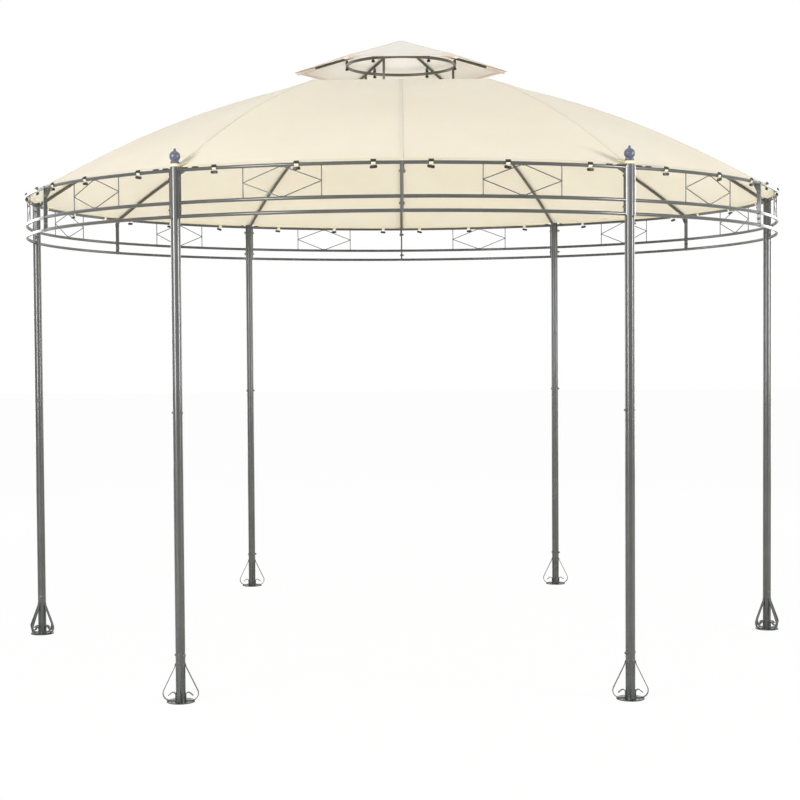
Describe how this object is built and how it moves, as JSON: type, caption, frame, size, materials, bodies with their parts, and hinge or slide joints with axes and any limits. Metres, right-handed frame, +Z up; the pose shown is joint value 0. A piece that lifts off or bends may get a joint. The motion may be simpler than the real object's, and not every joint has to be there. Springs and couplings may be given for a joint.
{
  "type": "round garden gazebo",
  "caption": "Round steel garden gazebo on slim posts with scroll feet, a curved rail ring and a domed fabric roof with a raised vent cap.",
  "frame": {"origin": "on the floor, under the centre of the ring", "axes": "+Z up, the shortest extent; -Y towards the side that faces the viewer, midway between two posts; +X through a post"},
  "size_m": [3.628, 3.516, 2.832],
  "materials": {
    "frame_steel": "mid grey gloss powder coat",
    "finial_plastic": "glossy dark blue grey moulding",
    "canopy_fabric": "cream coated polyester, plain weave",
    "tie_webbing": "cream webbing"
  },
  "bodies": {
    "root": {"foot_right": "frame_steel", "foot_back_right": "frame_steel", "foot_back_left": "frame_steel", "foot_left": "frame_steel", "foot_front_left": "frame_steel", "foot_front_right": "frame_steel", "lower_post_right": "frame_steel", "lower_post_back_right": "frame_steel", "lower_post_back_left": "frame_steel", "lower_post_left": "frame_steel", "lower_post_front_left": "frame_steel", "lower_post_front_right": "frame_steel", "upper_post_right": "frame_steel", "upper_post_back_right": "frame_steel", "upper_post_back_left": "frame_steel", "upper_post_left": "frame_steel", "upper_post_front_left": "frame_steel", "upper_post_front_right": "frame_steel", "ring_panel_1": "frame_steel", "ring_panel_2": "frame_steel", "ring_panel_3": "frame_steel", "ring_panel_4": "frame_steel", "ring_panel_5": "frame_steel", "ring_panel_6": "frame_steel", "ring_panel_7": "frame_steel", "ring_panel_8": "frame_steel", "ring_panel_9": "frame_steel", "ring_panel_10": "frame_steel", "ring_panel_11": "frame_steel", "ring_panel_12": "frame_steel", "finials": "finial_plastic", "post_ribs": "frame_steel", "mid_ribs": "frame_steel", "knuckle_hexagon": "frame_steel", "crown_arms": "frame_steel", "crown": "frame_steel", "cap_frame": "frame_steel", "roof_canopy": "canopy_fabric", "corner_pads": "canopy_fabric", "canopy_ties": "tie_webbing", "cap_canopy": "canopy_fabric"}
  },
  "joints": []
}
